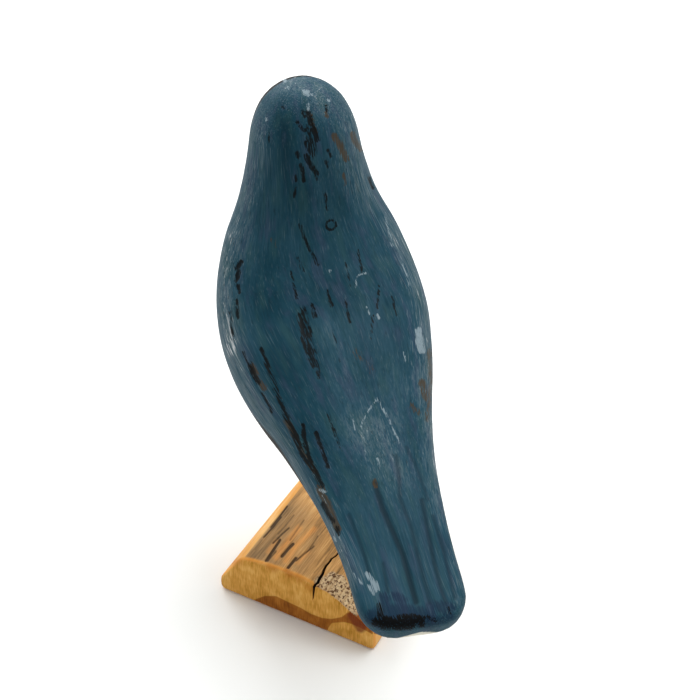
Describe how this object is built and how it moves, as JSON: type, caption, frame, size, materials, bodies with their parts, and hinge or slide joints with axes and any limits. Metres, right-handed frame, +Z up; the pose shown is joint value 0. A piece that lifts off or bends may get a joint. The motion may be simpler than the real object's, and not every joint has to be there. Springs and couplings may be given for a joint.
{
  "type": "carved wooden bird figure",
  "caption": "Carved and painted wooden songbird standing on a thin dowel over a small block of old board.",
  "frame": {"origin": "on the ground under the middle of the support peg", "axes": "+Z up, +Y the way the bird faces, +X to the bird's right"},
  "size_m": [0.0586, 0.1164, 0.1219],
  "materials": {
    "blue_grey_paint": "matte blue-grey paint over carved wood, rubbed thin in places",
    "dowel_wood": "bare sanded dowel",
    "old_board": "weathered top with a sanded end and one sanded slope"
  },
  "bodies": {
    "root": {"carved_bird": "blue_grey_paint", "support_peg": "dowel_wood", "base_block": "old_board"}
  },
  "joints": []
}
